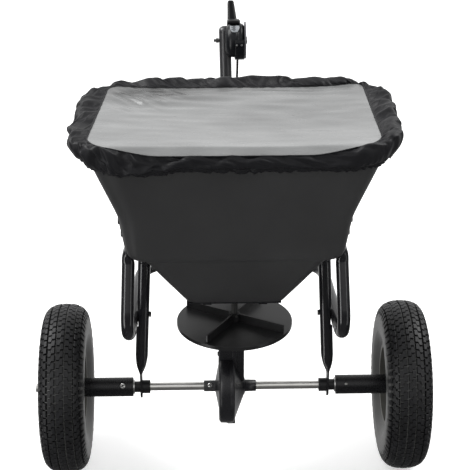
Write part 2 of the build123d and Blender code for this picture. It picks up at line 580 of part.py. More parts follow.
def control_head():
    clamp, nut = clamp_bolt(), wing_nut()
    drum = cyl_x(HEAD_R, HOUSING_X0, HOUSING_X1, HEAD_Y, HEAD_Z)
    saddle = cyl_x(24.0, -8.0, HOUSING_X0, HEAD_Y - 10.0, HEAD_Z)
    saddle -= box(-20.0, 6.0, CLAMP_Y - POST_R + 2.0, 600.0, 600.0, 800.0)
    housing = drum + saddle
    housing -= cyl_x(CAVITY_R, HOUSING_X0 + 2.0, HOUSING_X1 + 1.0, HEAD_Y, HEAD_Z)
    slot = sector(ARM_X0 - 1.3, ARM_X1 + 1.3, CAVITY_R - 2.0, HEAD_R + 3.0, -18.0, LEVER_LEAN + 12.0)
    post_tilt = Vector(*POST_TOP) - Vector(*POST_KNEE)
    post_cut = Plane(origin=POST_KNEE, z_dir=post_tilt) * Pos(0, 0, 40.0) * Cylinder(POST_R + 0.1, 160.0)
    housing = housing - slot - post_cut - clamp
    pin = cyl_x(4.0, HOUSING_X0, SIDE_X1, HEAD_Y, HEAD_Z) + cyl_x(7.5, SIDE_X1, SIDE_X1 + 3.0, HEAD_Y, HEAD_Z)
    cover = cyl_x(HEAD_R, HOUSING_X1, COVER_X1, HEAD_Y, HEAD_Z)
    cover += box(CABLE_EXIT_X - 7.0, COVER_X1, BOSS_Y - 9.0, BOSS_Y + 9.0, BOSS_Z0, HEAD_Z)
    cover -= cyl_x(HEAD_R, HOUSING_X0, HOUSING_X1, HEAD_Y, HEAD_Z)
    cover -= cyl_x(HEAD_R - 3.0, HOUSING_X1 + 3.0, COVER_X1 - 3.0, HEAD_Y, HEAD_Z)
    cover += cyl_x(8.0, HOUSING_X1, COVER_X1, HEAD_Y, HEAD_Z)
    side = cyl_x(39.0, COVER_X1, SIDE_X1, HEAD_Y, HEAD_Z)
    scale_band = sector(HOUSING_X0 + 0.5, 24.0, HEAD_R + 0.02, HEAD_R + 1.4, -38.0, 14.0)
    scale_band -= slot
    lever = cyl_x(10.0, HOUSING_X0 + 2.4, HOUSING_X1 - 0.4, HEAD_Y, HEAD_Z)
    straight = Pos((ARM_X0 + ARM_X1) / 2, 0, 34.0) * Box(ARM_X1 - ARM_X0, 12.0, 68.0)
    lever += at_head(Rot(-LEVER_LEAN, 0, 0) * straight)
    cable_arm = Pos((ARM_X0 + ARM_X1) / 2, 0, 15.5) * Box(ARM_X1 - ARM_X0, 8.0, 31.0)
    lever += at_head(Rot(-LEVER_LEAN - 66.0, 0, 0) * cable_arm)
    lever -= cyl_x(4.0 + RUN, HOUSING_X0, HOUSING_X1 + 1, HEAD_Y, HEAD_Z)
    base_x, tip_x = 9.8, 7.4
    collar = Pos(base_x, 0, GRIP_R0 - 12.0) * RectangleRounded(17.0, 13.0, 5.0)
    base = Pos(base_x, 0, GRIP_R0) * RectangleRounded(22.0, 17.0, 6.0)
    tip = Pos(tip_x, 0, GRIP_R1) * RectangleRounded(13.5, 12.5, 5.0)
    grip = loft([collar, base], ruled=True) + loft([base, tip], ruled=True)
    grip = at_head(Rot(-LEVER_LEAN, 0, 0) * grip)
    pocket = at_head(Rot(-LEVER_LEAN, 0, 0) * straight)
    save("control_housing", housing - pin)
    save("control_cover", cover - pin)
    save("control_side_plate", side - pin)
    save("control_scale", scale_band)
    save("lever_pivot_pin", pin)
    save("clamp_bolt", clamp)
    save("clamp_wing_nut", nut)
    save("flow_lever", lever)
    save("lever_grip", grip - pocket)


# ---- hopper ----
def hopper_sections(inset):
    """Outlines of the funnel and of the body above it, outside or inset by the wall."""
    low = OUTLET_Z + (WALL if inset else 0.0)
    share = (low - OUTLET_Z) / (LEDGE_Z - OUTLET_Z)
    outlet = (OUTLET_X + (FUNNEL_X - OUTLET_X) * share, 60.0 + 62.0 * share, 20.0, low)
    funnel = [outlet, (FUNNEL_X, 122.0, 26.0, LEDGE_Z + inset)]
    body = [(BODY_X - 9.0, 122.0, 20.0, LEDGE_Z + inset),
            (BODY_X - 3.5, 127.0, 25.0, LEDGE_Z + inset + 4.0),
            (BODY_X, 130.0, 28.0, BODY_Z),
            (BREAK_X, 139.0, 42.0, BREAK_Z),
            (RIM_X, 165.0, 62.0, RIM_Z + (1.0 if inset else 0.0))]
    return [[(x - inset, y - inset, r - inset, z) for x, y, r, z in part] for part in (funnel, body)]


def hopper(bolts):
    funnel, body = hopper_sections(0.0)
    lip = (RIM_X + 3.0, 168.0, 65.0)
    shell = stack(funnel) + stack(body) + stack([(*lip, RIM_Z - 5.0), (*lip, RIM_Z)])
    outer_foot = STRUT_TOP_X - TAB_T / 2
    for side in (-1, 1):
        for x_out, z0, z1 in ((outer_foot, 463.0, LEDGE_Z + 2.0), (156.0, 426.0, 466.0)):
            shell += box(*sorted((side * x_out, side * 120.0)), -17.0, 17.0, z0, z1)
    in_funnel, in_body = hopper_sections(WALL)
    neck = in_funnel[1][:3]
    shell -= stack(in_funnel)
    shell -= stack([(*neck, LEDGE_Z + WALL - 0.01), (*neck, LEDGE_Z + WALL + 2.0)])
    shell -= stack(in_body)
    for side in (-1, 1):
        shell += cyl_x(9.0, side * (outer_foot - 6.0), side * FOOT_SEAT_X, 0.0, STRUT_BOLT_Z)
        px0, px1 = sorted((side * PORT_X[0], side * PORT_X[1]))
        shell -= box(px0, px1, PORT_Y[0], PORT_Y[1], OUTLET_Z - 5, OUTLET_Z + 8)
    shell -= cyl_z(10.0, OUTLET_Z - 5, OUTLET_Z + 8)
    for bolt in bolts:
        shell -= bolt
        shell -= mirrored(bolt)
    return shell


# ---- outlet, gate and cable end ----
PORT_X = (10.0, 40.0)
PORT_Y = (17.0, 44.0)
PLATE_Z = OUTLET_Z - 2.0        # underside of the outlet plate
GATE_Z = PLATE_Z - 2.8          # underside of the gate
WIRE_Z = 365.0
BRACKET_Y = 128.0
FERRULE_Y0, FERRULE_Y1 = 121.0, 168.0


def outlet_parts():
    plate = box(-86.0, 86.0, -58.0, 58.0, PLATE_Z, OUTLET_Z)
    plate += box(-12.0, 12.0, 57.0, BRACKET_Y + 2.0, PLATE_Z, OUTLET_Z)
    plate += box(-12.0, 12.0, BRACKET_Y, BRACKET_Y + 2.0, WIRE_Z - 10.0, OUTLET_Z)
    screws = []
    for x in (-76.0, 76.0):
        for y in (-48.0, 48.0):
            screws.append(cyl_z(2.0, PLATE_Z, OUTLET_Z + WALL, x, y) + cyl_z(4.5, PLATE_Z - 2.2, PLATE_Z, x, y))
    for side in (-1, 1):
        px0, px1 = sorted((side * PORT_X[0], side * PORT_X[1]))
        plate -= box(px0, px1, PORT_Y[0], PORT_Y[1], PLATE_Z - 1, OUTLET_Z + 1)
    plate -= cyl_z(SHAFT_R + 1.0, PLATE_Z - 1, OUTLET_Z + 1)
    plate -= cyl_y(4.0, BRACKET_Y - 1, BRACKET_Y + 3, 0, WIRE_Z)
    guides = []
    for side in (-1, 1):
        outer = box(*sorted((side * 50.5, side * 60.0)), -52.0, 52.0, GATE_Z - 2.3, PLATE_Z)
        lip = box(*sorted((side * 44.0, side * 51.0)), -52.0, 52.0, GATE_Z - 2.3, GATE_Z - 0.3)
        guides.append(outer + lip)
    gate = box(-50.0, 50.0, -46.0, 58.0, GATE_Z, GATE_Z + 2.5)
    gate += box(-14.0, 14.0, 57.0, 75.0, GATE_Z, GATE_Z + 2.5)
    gate += box(-14.0, 14.0, 73.0, 75.0, WIRE_Z - 7.0, GATE_Z + 1.0)
    for side in (-1, 1):
        px0, px1 = sorted((side * PORT_X[0], side * PORT_X[1]))
        gate -= box(px0, px1, -14.0, 13.0, GATE_Z - 1, GATE_Z + 3)
    gate -= box(-7.0, 7.0, -GATE_TRAVEL, 0.0, GATE_Z - 1, GATE_Z + 3)
    gate -= cyl_z(7.0, GATE_Z - 1, GATE_Z + 3) + cyl_z(7.0, GATE_Z - 1, GATE_Z + 3, 0, -GATE_TRAVEL)
    wire = cyl_y(1.0, 73.0, 133.0, 0, WIRE_Z) + cyl_y(3.0, 67.0, 73.0, 0, WIRE_Z)
    gate -= cyl_y(1.0, 70.0, 80.0, 0, WIRE_Z)
    ferrule = cyl_y(4.0, FERRULE_Y0, FERRULE_Y1, 0, WIRE_Z)
    for y in (BRACKET_Y - 4.5, BRACKET_Y + 2.0):
        nut = Pos(0, y, WIRE_Z) * Rot(-90, 0, 0) * extrude(RegularPolygon(6.5, 6, major_radius=False), 4.5)
        ferrule += nut
    ferrule -= cyl_y(1.4, FERRULE_Y0 - 1, FERRULE_Y1 - 2.0, 0, WIRE_Z)
    for screw in screws:
        plate -= screw
    save("outlet_plate", plate)
    save("gate_guides", *guides)
    save("outlet_screws", *screws)
    save("flow_gate", gate)
    save("gate_wire", wire)
    save("cable_ferrule", ferrule)
    bush = cyl_z(10.0, OUTLET_Z, OUTLET_Z + 6.0) + cyl_z(13.0, OUTLET_Z + WALL, OUTLET_Z + 6.0)
    save("hopper_bush", bush - cyl_z(SHAFT_R + RUN, OUTLET_Z - 1, OUTLET_Z + 8))
    return screws


# ---- control cable ----
CABLE_ROUTE = [(CABLE_EXIT_X, BOSS_Y, BOSS_Z0 - 0.1), (18.6, 540.6, 628.0), (16.2, 543.5, 582.0),
               (16.0, 546.0, 526.0), (17.2, 545.5, 466.0), (19.6, 541.0, 412.0),
               (21.6, 526.0, 372.0), (17.5, 490.0, 352.0), (9.0, 440.0, 345.5),
               (2.5, 388.0, 346.5), (-0.5, 332.0, 350.5), (-1.5, 276.0, 356.5),
               (-0.8, 232.0, 361.5), (0.0, 198.0, WIRE_Z - 0.6), (0.0, FERRULE_Y1 + 0.1, WIRE_Z)]


def arc_radii(points):
    """As large an arc at each corner as its two runs allow."""
    radii = []
    for a, b, c in zip(points, points[1:], points[2:]):
        run_in = Vector(*b) - Vector(*a)
        run_out = Vector(*c) - Vector(*b)
        turn = radians(run_in.get_angle(run_out))
        radii.append(0.45 * min(run_in.length, run_out.length) / tan(turn / 2))
    return radii


def control_cable():
    radii = arc_radii(CABLE_ROUTE)
    path = FilletPolyline(*CABLE_ROUTE, radius=radii)
    cable = sweep(Plane(origin=path @ 0, z_dir=path % 0) * Circle(CABLE_R), path=path)
    clips = []
    for low, high in ((2, 3), (3, 4)):
        middle = (Vector(*CABLE_ROUTE[low]) + Vector(*CABLE_ROUTE[high])) * 0.5
        clips.append(cable_clip(middle.X, middle.Y, middle.Z))
    save("control_cable", cable)
    save("cable_clips", *[clip - cable for clip in clips])


def cable_clip(x, y, z):
    """Strap round the post with an eye that holds the cable."""
    share = (z - POST_BASE[2]) / (POST_KNEE[2] - POST_BASE[2])
    post_x = POST_BASE[0] + share * (POST_KNEE[0] - POST_BASE[0])
    strap = cyl_z(POST_R + 2.0, z - 5, z + 5, post_x, POST_Y)
    eye = cyl_z(4.5, z - 5, z + 5, x, y)
    reach = Vector(x - post_x, y - POST_Y, 0)
    angle = degrees(atan(reach.Y / reach.X))
    neck = Pos(post_x, POST_Y, z) * Rot(0, 0, angle) * Pos(reach.length / 2, 0, 0) * Box(reach.length, 4, 10)
    post_lean = Vector(*POST_KNEE) - Vector(*POST_BASE)
    post_hole = Plane(origin=(post_x, POST_Y, z), z_dir=post_lean) * Cylinder(POST_R, 30)
    return strap + eye + neck - post_hole


# ---- rain cover ----
def rain_cover():
    def outline(shrink, corner, z):
        return (COVER_HALF_X - shrink, COVER_HALF_Y - shrink, corner, z)

    outer = stack([outline(8.0, 86.0, COVER_Z0), outline(0.0, 94.0, 704.0),
                   outline(1.5, 92.0, 718.0), outline(10.0, 82.0, COVER_Z1)])
    inner = stack([outline(13.0, 81.0, COVER_Z0 - 1.0), outline(5.5, 88.0, 704.0),
                   outline(7.0, 86.0, 717.0), outline(12.5, 76.0, RIM_Z + 0.4)])
    pane = (258.0, 148.0, 26.0)
    save("rain_cover", outer - inner - stack([(*pane, RIM_Z), (*pane, COVER_Z1 + 1.0)]))
    save("cover_window", stack([(*pane, RIM_Z + 0.4), (*pane, RIM_Z + 2.4)]))


def main():
    os.makedirs("parts", exist_ok=True)
    for side in (-1, 1):
        wheel(side, side * DRIVE_HOLE_X)
    axle_parts()
    hopper_bolts = frame_parts()
    control_post()
    control_head()
    gearbox()
    spinner()
    screws = outlet_parts()
    body = hopper(hopper_bolts)
    for screw in screws:
        body -= screw
    save("hopper", body)
    control_cable()
    rain_cover()


main()
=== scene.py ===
import json
import math
import random

import bmesh
import bpy
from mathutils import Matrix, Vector, noise


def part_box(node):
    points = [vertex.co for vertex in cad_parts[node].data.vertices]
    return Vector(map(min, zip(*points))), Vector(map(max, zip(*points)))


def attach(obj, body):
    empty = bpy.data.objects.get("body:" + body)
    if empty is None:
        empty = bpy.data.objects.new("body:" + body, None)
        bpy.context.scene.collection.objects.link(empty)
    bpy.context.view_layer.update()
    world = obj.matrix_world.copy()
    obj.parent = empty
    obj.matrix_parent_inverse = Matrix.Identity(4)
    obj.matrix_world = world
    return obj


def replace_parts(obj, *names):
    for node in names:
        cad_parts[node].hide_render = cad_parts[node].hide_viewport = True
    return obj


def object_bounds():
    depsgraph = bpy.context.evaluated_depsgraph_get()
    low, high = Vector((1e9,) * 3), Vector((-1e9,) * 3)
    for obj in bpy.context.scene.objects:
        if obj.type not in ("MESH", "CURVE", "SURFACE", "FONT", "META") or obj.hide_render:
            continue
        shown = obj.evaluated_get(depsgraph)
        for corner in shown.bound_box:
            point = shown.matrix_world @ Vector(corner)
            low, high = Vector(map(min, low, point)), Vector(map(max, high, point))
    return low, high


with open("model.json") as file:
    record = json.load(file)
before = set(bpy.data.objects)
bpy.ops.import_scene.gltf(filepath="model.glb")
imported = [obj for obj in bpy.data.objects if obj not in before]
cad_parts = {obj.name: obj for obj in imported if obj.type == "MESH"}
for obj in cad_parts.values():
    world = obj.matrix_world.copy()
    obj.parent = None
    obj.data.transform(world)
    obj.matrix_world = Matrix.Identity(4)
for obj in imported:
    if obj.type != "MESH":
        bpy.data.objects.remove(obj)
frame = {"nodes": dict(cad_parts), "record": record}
cad_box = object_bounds()
NODES = frame["nodes"]
MM = 0.001
scene = bpy.context.scene
scene.view_settings.view_transform = "Standard"


# ---- materials ----
def socket(bsdf, name, value):
    bsdf.inputs[name].default_value = value


def material(name, colour, rough, metal=0.0, vary=0.12, blotch=18.0, rough_vary=0.08, grain=0.0,
             grain_size=0.6, stretch=(1, 1, 1), coat=0.0, specular=0.5, alpha=1.0, sheen=0.0,
             painted_top_light=0.0, wave=0.0, wave_size=1.2, painted_shading=False):
    """A procedural finish: blotchy colour, fine roughness and grain (metres deep, mm wide), a painted
    highlight on upward faces, a diagonal weave, and painted shade and highlight from the mesh's own "shade"
    colours."""
    mat = bpy.data.materials.new(name)
    mat.use_nodes = True
    tree = mat.node_tree
    new, link = tree.nodes.new, tree.links.new
    bsdf = tree.nodes["Principled BSDF"]
    socket(bsdf, "Metallic", metal)
    socket(bsdf, "Coat Weight", coat)
    socket(bsdf, "Coat Roughness", 0.12)
    socket(bsdf, "Specular IOR Level", specular)
    socket(bsdf, "Alpha", alpha)
    socket(bsdf, "Sheen Weight", sheen)
    socket(bsdf, "Sheen Roughness", 0.5)
    place = new("ShaderNodeTexCoord")
    mapping = new("ShaderNodeMapping")
    mapping.inputs["Scale"].default_value = stretch
    link(place.outputs["Object"], mapping.inputs["Vector"])

    def noise_at(scale, detail=4.0):
        node = new("ShaderNodeTexNoise")
        node.inputs["Scale"].default_value = scale
        node.inputs["Detail"].default_value = detail
        link(mapping.outputs["Vector"], node.inputs["Vector"])
        return node.outputs["Fac"]

    def ramp(value, low, high, at=(0.3, 0.7)):
        node = new("ShaderNodeMapRange")
        node.inputs["From Min"].default_value = at[0]
        node.inputs["From Max"].default_value = at[1]
        node.inputs["To Min"].default_value = low
        node.inputs["To Max"].default_value = high
        link(value, node.inputs["Value"])
        return node.outputs["Result"]

    def colour_mix():
        """A colour mix node, with its two colour inputs and its colour output."""
        node = new("ShaderNodeMix")
        node.data_type = "RGBA"
        first, second = (s for s in node.inputs if s.type == "RGBA")
        result = next(s for s in node.outputs if s.type == "RGBA")
        return node, first, second, result

    big = noise_at(blotch)
    fine = noise_at(1000.0 / grain_size, 2.0)
    dark = [c * (1 - vary) for c in colour]
    pale = [c * (1 + vary) for c in colour]
    blend, first, second, base = colour_mix()
    link(ramp(big, 0.0, 1.0), blend.inputs["Factor"])
    first.default_value = (*dark, 1)
    second.default_value = (*pale, 1)
    # painted highlight: upward-facing faces are mixed towards grey, paler where light falls from above
    if painted_top_light:
        geometry = new("ShaderNodeNewGeometry")
        split = new("ShaderNodeSeparateXYZ")
        link(geometry.outputs["Normal"], split.inputs["Vector"])
        upward = ramp(split.outputs["Z"], 0.0, painted_top_light, (0.2, 1.0))
        blend, first, second, top_lit_colour = colour_mix()
        link(upward, blend.inputs["Factor"])
        link(base, first)
        second.default_value = (0.3, 0.3, 0.3, 1)
        base = top_lit_colour
    # painted shade and highlight: the base colour is multiplied by the mesh's "shade" colours
    if painted_shading:
        shade = new("ShaderNodeAttribute")
        shade.attribute_name = "shade"
        blend, first, second, multiplied = colour_mix()
        blend.blend_type = "MULTIPLY"
        blend.inputs["Factor"].default_value = 1.0
        link(base, first)
        link(shade.outputs["Color"], second)
        base = multiplied
    link(base, bsdf.inputs["Base Color"])
    link(ramp(fine, max(0.02, rough - rough_vary), min(1.0, rough + rough_vary)), bsdf.inputs["Roughness"])
    height = fine
    if wave:
        weave = new("ShaderNodeTexWave")
        weave.inputs["Scale"].default_value = 1000.0 / wave_size / 3.0
        weave.bands_direction = "DIAGONAL"
        link(mapping.outputs["Vector"], weave.inputs["Vector"])
        both = new("ShaderNodeMath")
        both.operation = "MULTIPLY_ADD"
        link(weave.outputs["Fac"], both.inputs[0])
        both.inputs[1].default_value = wave
        link(fine, both.inputs[2])
        height = both.outputs[0]
    if grain:
        bump = new("ShaderNodeBump")
        bump.inputs["Strength"].default_value = 0.6
        bump.inputs["Distance"].default_value = grain
        link(height, bump.inputs["Height"])
        link(bump.outputs["Normal"], bsdf.inputs["Normal"])
    return mat


MATS = {
    "post_paint": material("post_paint", (0.022, 0.022, 0.024), 0.36, rough_vary=0.05, specular=0.8,
                           grain=2e-5, grain_size=2.5),
    "dark_steel": material("dark_steel", (0.09, 0.09, 0.088), 0.35, metal=0.8, blotch=60.0, grain=4e-5),
    "frame_paint": material("gloss_black_paint", (0.007, 0.007, 0.0085), 0.19, rough_vary=0.04, coat=0.15,
                            grain=2e-5, grain_size=2.5),
    "bright_steel": material("bright_steel", (0.88, 0.87, 0.84), 0.34, metal=1.0, stretch=(0.05, 1, 1),
                             grain=4e-5, grain_size=1.2),
    "zinc_steel": material("zinc_steel", (0.62, 0.62, 0.61), 0.3, metal=1.0, blotch=90.0, grain=3e-5),
    "lever_steel": material("lever_steel", (0.02, 0.02, 0.021), 0.4, grain=2e-5),
    "hub_steel": material("hub_paint", (0.006, 0.006, 0.007), 0.26, grain=2e-5, grain_size=2.0,
                          specular=0.35),
    "rim_paint": material("rim_paint", (0.075, 0.074, 0.066), 0.45, vary=0.2, blotch=30.0, grain=4e-5),
    # the tread's upward faces get a painted highlight
    "tyre": material("tyre_rubber", (0.008, 0.008, 0.009), 0.46, vary=0.3, blotch=35.0, grain=8e-5,
                     grain_size=0.9, painted_top_light=0.015, specular=0.3),
    "tyre_side": material("tyre_side", (0.045, 0.045, 0.044), 0.42, vary=0.25, blotch=25.0, grain=8e-5,
                          grain_size=0.9),
    "tube_rubber": material("tube_rubber", (0.02, 0.02, 0.02), 0.6, grain=3e-5),
    "hopper_plastic": material("hopper_plastic", (0.021, 0.021, 0.0215), 0.5, vary=0.1, blotch=9.0,
                               grain=6e-5, grain_size=0.9, specular=0.35),
    "black_plastic": material("black_plastic", (0.0035, 0.0035, 0.004), 0.34, grain=4e-5, grain_size=0.8,
                              specular=0.13),
    "head_plastic": material("head_plastic", (0.005, 0.0055, 0.007), 0.3, grain=4e-5, grain_size=0.8,
                             specular=0.25),
    "head_plate": material("head_plate", (0.10, 0.10, 0.11), 0.42, grain=4e-5, grain_size=0.8),
    "scale_plastic": material("scale_plastic", (0.26, 0.275, 0.29), 0.35, vary=0.08, grain=1e-5),
    "bush_plastic": material("bush_plastic", (0.008, 0.008, 0.009), 0.4, grain=4e-5, specular=0.3),
    "gearbox_plastic": material("gearbox_plastic", (0.008, 0.008, 0.0095), 0.3, grain=5e-5, grain_size=1.0,
                                specular=0.35),
    "gear_plastic": material("gear_plastic", (0.03, 0.03, 0.032), 0.45, grain=4e-5),
    "spinner_plastic": material("spinner_plastic", (0.010, 0.010, 0.0105), 0.36, grain=5e-5, grain_size=1.0,
                                specular=0.35),
    "cable_jacket": material("cable_jacket", (0.012, 0.012, 0.012), 0.4, grain=3e-5),
    "cover_fabric": material("cover_fabric", (0.0065, 0.0065, 0.008), 0.5, vary=0.12, blotch=14.0,
                             grain=1.2e-4, grain_size=0.7, sheen=0.01, specular=0.22, wave=0.8,
                             wave_size=1.3),
    # the window's colour carries painted shade and highlight from its "shade" colours
    "clear_vinyl": material("clear_vinyl", (0.235, 0.238, 0.238), 0.24, vary=0.12, blotch=6.0,
                            rough_vary=0.05, grain=2e-5, grain_size=8.0, stretch=(0.4, 1.6, 1),
                            alpha=0.94, specular=0.5, painted_shading=True),
}
SLOT_OF = {row["node"]: row["material_slot"] for row in frame["record"]["subparts"]}


def paint(obj, mat):
    obj.data.materials.clear()
    obj.data.materials.append(mat)


# edge radii in mm, and the steel pieces that look darker than bare zinc
BEVELS = {"gearbox_left_half": 1.6, "gearbox_right_half": 1.6, "control_cover": 1.5,
          "control_housing": 1.2, "control_side_plate": 1.0, "spinner_disc": 0.7,
          "left_wheel_hub": 0.5, "right_wheel_hub": 0.5,
          "axle_bushes": 0.8, "left_wheel_rim": 0.8, "right_wheel_rim": 0.8, "drive_gear": 0.5,
          "drawbar": 1.5, "hitch_plates": 0.8, "outlet_plate": 0.5, "gate_guides": 0.4, "axle": 0.6,
          "flow_lever": 0.4, "post_cap": 0.6, "cable_clips": 0.5}
DARKER = ("strut_bolts", "spinner_shaft", "spinner_pin", "clamp_wing_nut", "clamp_bolt", "hopper_bolts",
          "drawbar_bolts", "gearbox_screws", "cable_ferrule")
for node, obj in NODES.items():
    finish = SLOT_OF[node]
    if node in DARKER:
        finish = "dark_steel"
    elif node in ("control_post", "post_cap"):
        finish = "post_paint"
    paint(obj, MATS[finish])
    if node in BEVELS:
        bevel = obj.modifiers.new("edges", "BEVEL")
        bevel.width = BEVELS[node] * MM
        bevel.segments = 2
        bevel.limit_method = "ANGLE"
        bevel.angle_limit = math.radians(50)
        bevel.harden_normals = False


# ---- mesh helpers ----
def from_bmesh(bm, name, mat, body, flat=False):
    bmesh.ops.recalc_face_normals(bm, faces=bm.faces)
    mesh = bpy.data.meshes.new(name)
    bm.to_mesh(mesh)
    bm.free()
    for polygon in mesh.polygons:
        polygon.use_smooth = not flat
    obj = bpy.data.objects.new(name, mesh)
    scene.collection.objects.link(obj)
    mesh.materials.append(mat)
    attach(obj, body)
    return obj


def grid_faces(bm, rows, close_u=True):
    """Quads between rows of vertices, each row a ring (close_u) or a strip."""
    made = []
    for a, b in zip(rows, rows[1:]):
        n = len(a)
        for i in range(n if close_u else n - 1):
            j = (i + 1) % n
            made.append(bm.faces.new((a[i], a[j], b[j], b[i])))
    return made


def interpolate(points, t):
    """Catmull-Rom curve through points with any number of coordinates, t from 0 to 1."""
    n = len(points) - 1
    i = min(int(t * n), n - 1)
    f = t * n - i
    p0, p1, p2, p3 = (points[max(0, min(n, k))] for k in (i - 1, i, i + 1, i + 2))
    return tuple(0.5 * (2 * b + (c - a) * f + (2 * a - 5 * b + 4 * c - d) * f * f
                        + (3 * b - a - 3 * c + d) * f ** 3) for a, b, c, d in zip(p0, p1, p2, p3))


# ---- tyres ----
def box_centre(node):
    low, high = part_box(node)
    return (low + high) / 2


def tyre_profile(half_w, crown, bead_x, bead_r):
    """Outside section from crown to bead as closely spaced (along axle, radius), with arc lengths."""
    depth = crown - bead_r
    corners = [(0, crown), (0.30 * half_w, crown - 0.012 * depth), (0.58 * half_w, crown - 0.050 * depth),
               (0.82 * half_w, crown - 0.135 * depth), (0.965 * half_w, crown - 0.30 * depth),
               (half_w, bead_r + 0.47 * depth), (0.95 * half_w, bead_r + 0.28 * depth),
               (0.80 * half_w, bead_r + 0.12 * depth), (bead_x, bead_r)]
    points = [interpolate(corners, k / 160) for k in range(161)]
    lengths = [0.0]
    for a, b in zip(points, points[1:]):
        lengths.append(lengths[-1] + math.dist(a, b))
    return points, lengths


def on_profile(points, lengths, s):
    """(x, r, normal x, normal r) at signed arc length s from the crown."""
    side = -1 if s < 0 else 1
    s = min(abs(s), lengths[-1] - 1e-6)
    k = next(i for i, value in enumerate(lengths) if value > s)
    f = (s - lengths[k - 1]) / (lengths[k] - lengths[k - 1])
    a, b = points[k - 1], points[k]
    x, r = a[0] + (b[0] - a[0]) * f, a[1] + (b[1] - a[1]) * f
    tx, tr = b[0] - a[0], b[1] - a[1]
    size = math.hypot(tx, tr)
    return side * x, r, side * -tr / size, tx / size


def build_tyre(node, body):
    low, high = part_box(node)
    centre = (low + high) / 2
    crown = (high.z - low.z) / 2 / MM
    half_w = (high.x - low.x) / 2 / MM
    points, lengths = tyre_profile(half_w - 0.2, crown - 0.3, 29.0, 77.0)
    groove = 4.4
    edge_s = 52.0
    rng = random.Random(7)

    def place(s, angle, height):
        x, r, nx, nr = on_profile(points, lengths, s)
        x, r = x + nx * height, r + nr * height
        return centre + Vector((x, r * math.sin(angle), r * math.cos(angle))) * MM

    # carcass: sunk between the blocks, full on the sidewalls, with fine moulding rings
    bm = bmesh.new()
    total = lengths[-1]
    stations = []
    count = 46
    for k in range(-count, count + 1):
        s = total * k / count
        d = abs(s)
        sink = groove if d < edge_s else groove * max(0.0, 1 - (d - edge_s) / 3.0)
        ring = 0.9 * max(0.0, 1 - abs(d - 66.0) / 1.6) + 0.7 * max(0.0, 1 - abs(d - 88.0) / 2.2)
        stations.append((s, ring - sink))
    turns = 120
    rows = [[bm.verts.new(place(s, 2 * math.pi * i / turns, h)) for i in range(turns)] for s, h in stations]
    inner = [[bm.verts.new(centre + Vector((x, r * math.sin(a), r * math.cos(a))) * MM)
              for a in (2 * math.pi * i / turns for i in range(turns))]
             for x, r in ((27.0, 76.6), (22.0, 90.0), (34.0, 118.0), (24.0, 146.0), (0.0, 156.0),
                          (-24.0, 146.0), (-34.0, 118.0), (-22.0, 90.0), (-27.0, 76.6))]
    grid_faces(bm, rows + inner + [rows[0]])
    carcass = from_bmesh(bm, body_name(node, "carcass"), MATS["tyre_side"], body)
    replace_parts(carcass, node)

    # tread: staggered stepped blocks in five rows, and shoulder lugs
    bm = bmesh.new()
    blocks = 66
    pitch = 2 * math.pi / blocks

    def block(columns, top=0.0, foot=-groove - 0.6):
        """columns: (s, start angle, end angle) across the block."""
        levels = []
        for inset, height in ((1.3, top), (0.5, top - 0.5), (0.0, top - 1.3), (-0.5, foot)):
            ring = []
            first, last = columns[0][0], columns[-1][0]
            for lane in (1, 2):
                lane_columns = columns if lane == 1 else columns[::-1]
                for s, a0, a1 in lane_columns:
                    shift = inset * 0.55
                    s_in = s + (shift if s == first else -shift if s == last else 0)
                    grow = shift / crown
                    angle = a0 + grow if lane == 1 else a1 - grow
                    ring.append(bm.verts.new(place(s_in, angle, height)))
            levels.append(ring)
        n = len(columns)
        ring = levels[0]
        for i in range(n - 1):
            bm.faces.new((ring[i], ring[i + 1], ring[2 * n - 2 - i], ring[2 * n - 1 - i]))
        grid_faces(bm, levels)

    rows_of_blocks = [(0.0, 6.6, 0.0, 1), (16.4, 6.9, 0.5, -1), (-16.4, 6.9, 0.5, -1),
                      (32.6, 6.6, 0.0, 1), (-32.6, 6.6, 0.0, 1)]
    for middle, half, offset, way in rows_of_blocks:
        for k in range(blocks):
            a = (k + offset) * pitch
            half_t = pitch * 0.5 - 1.5 / crown
            step = 3.2 / crown * way * (1 if middle >= 0 else -1)
            shift = rng.uniform(-0.15, 0.15) / crown
            block([(middle + f * half, a - half_t + g * step + shift, a + half_t + g * step + shift)
                   for f, g in ((-1, -1), (-0.12, -1), (0.12, 1), (1, 1))], top=rng.uniform(-0.3, 0.1))
    for side in (-1, 1):
        for k in range(blocks):
            a = (k + 0.5) * pitch
            half_t = pitch * (0.34 if k % 2 else 0.29)
            reach = 61.0 if k % 2 else 55.0
            block([(side * s, a - half_t * w, a + half_t * w) for s, w in
                   ((41.5, 1.0), (45.0, 1.0), (50.0, 0.95), (reach, 0.85))][::side], top=0.35)
    tread = from_bmesh(bm, body_name(node, "tread"), MATS["tyre"], body, flat=True)
    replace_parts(tread, node)


def body_name(node, what):
    return f"{node}_{what}"


build_tyre("left_tyre", "axle")
build_tyre("right_tyre", "right_wheel")


# ---- rain cover ----
rim_low, rim_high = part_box("rain_cover")
MID_Y = (rim_low.y + rim_high.y) / 2
HALF_X = (rim_high.x - rim_low.x) / 2 / MM
HALF_Y = (rim_high.y - rim_low.y) / 2 / MM
TOP_Z = rim_high.z / MM
HEM_Z = rim_low.z / MM


